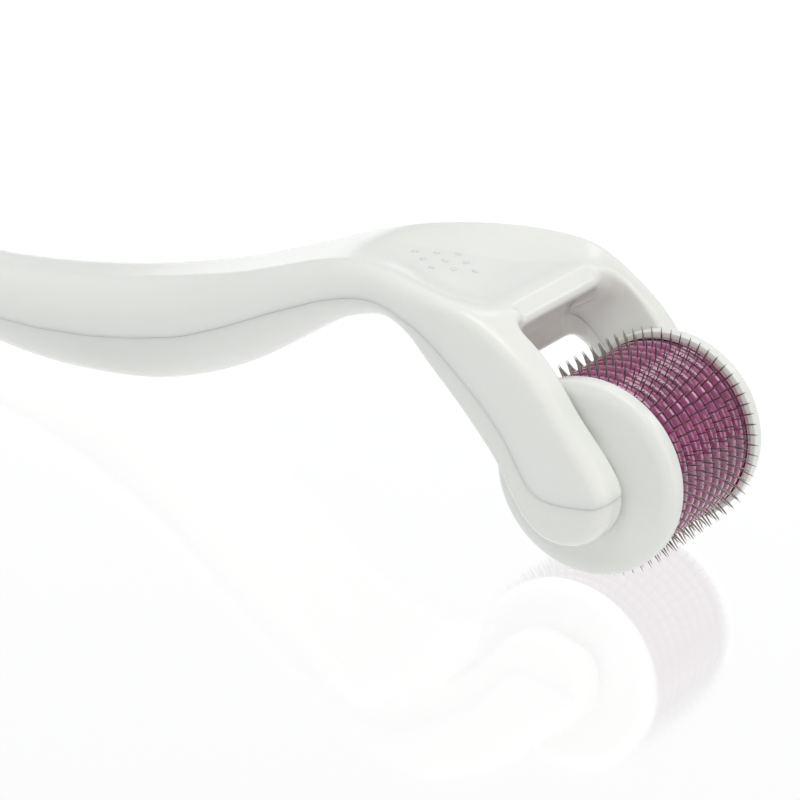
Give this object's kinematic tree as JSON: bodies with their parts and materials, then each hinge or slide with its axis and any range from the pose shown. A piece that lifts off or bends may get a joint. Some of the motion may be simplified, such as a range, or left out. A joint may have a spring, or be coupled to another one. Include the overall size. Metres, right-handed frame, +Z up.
{
  "type": "derma_roller",
  "caption": "Derma roller: a glossy white curved handle whose fork carries a drum of fine steel needle discs between tinted purple plastic rings",
  "frame": {"origin": "Under the middle of the object's box, on the plane that the needle tips and the belly of the handle stand on.", "axes": "+X runs along the handle from its tail to the drum, +Y along the drum's axis, +Z up."},
  "size_m": [0.138, 0.032, 0.0313],
  "materials": {
    "white_plastic": "glossy moulded",
    "cap_plastic": "satin moulded",
    "ring_plastic": "glossy translucent",
    "core_plastic": "satin",
    "needle_steel": "fine stamped",
    "pin_steel": "ground"
  },
  "bodies": {
    "handle": {"handle_upper_shell": "white_plastic", "handle_lower_shell": "white_plastic", "axle_pin": "pin_steel"},
    "roller": {"drum_core": "core_plastic", "end_cap_left": "cap_plastic", "end_cap_right": "cap_plastic", "needle_disc_1": "needle_steel", "needle_disc_2": "needle_steel", "needle_disc_3": "needle_steel", "needle_disc_4": "needle_steel", "needle_disc_5": "needle_steel", "needle_disc_6": "needle_steel", "needle_disc_7": "needle_steel", "needle_disc_8": "needle_steel", "needle_disc_9": "needle_steel", "spacer_ring_1": "ring_plastic", "spacer_ring_2": "ring_plastic", "spacer_ring_3": "ring_plastic", "spacer_ring_4": "ring_plastic", "spacer_ring_5": "ring_plastic", "spacer_ring_6": "ring_plastic", "spacer_ring_7": "ring_plastic", "spacer_ring_8": "ring_plastic", "spacer_ring_9": "ring_plastic", "spacer_ring_10": "ring_plastic"}
  },
  "joints": [
    {"name": "roller_spin", "type": "hinge", "parent": "handle", "child": "roller", "pos_m": [0.05596, 0, 0.013], "axis": [0, 1, 0], "continuous": true}
  ]
}
